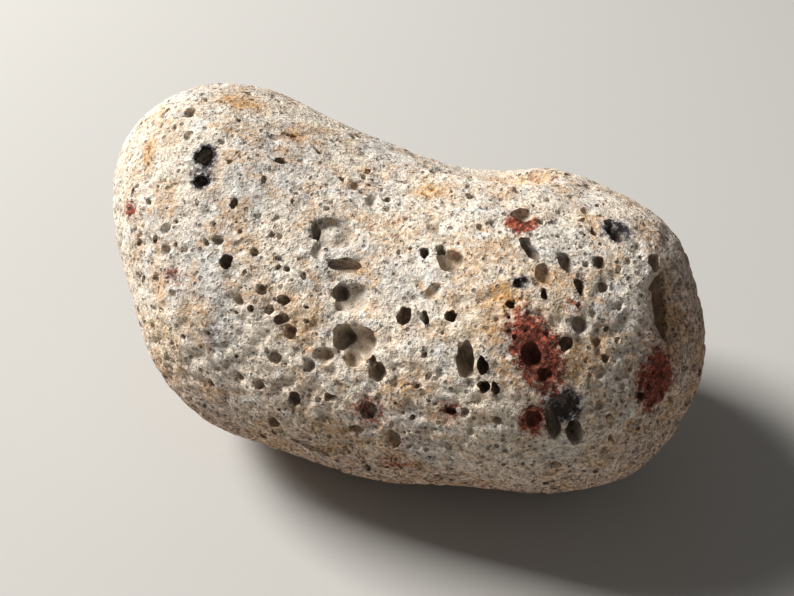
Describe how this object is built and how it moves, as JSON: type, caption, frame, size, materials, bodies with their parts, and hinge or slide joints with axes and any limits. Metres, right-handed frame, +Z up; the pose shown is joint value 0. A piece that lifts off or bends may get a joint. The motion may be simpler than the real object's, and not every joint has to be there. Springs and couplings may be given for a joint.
{
  "type": "pumice stone",
  "caption": "Water-worn pumice pebble, kidney shaped, with a saddle across its top, open gas bubbles and a small worn flat that it lies on.",
  "frame": {"origin": "middle of the bounding box's underside, on the surface that the stone lies on", "axes": "+X along the stone's length towards its rounder, lower end; +Y across it, away from the broad porous face; +Z up"},
  "size_m": [0.0908, 0.0544, 0.0494],
  "materials": {
    "pumice": "rough, water-worn"
  },
  "bodies": {
    "root": {"pumice_stone": "pumice"}
  },
  "joints": []
}
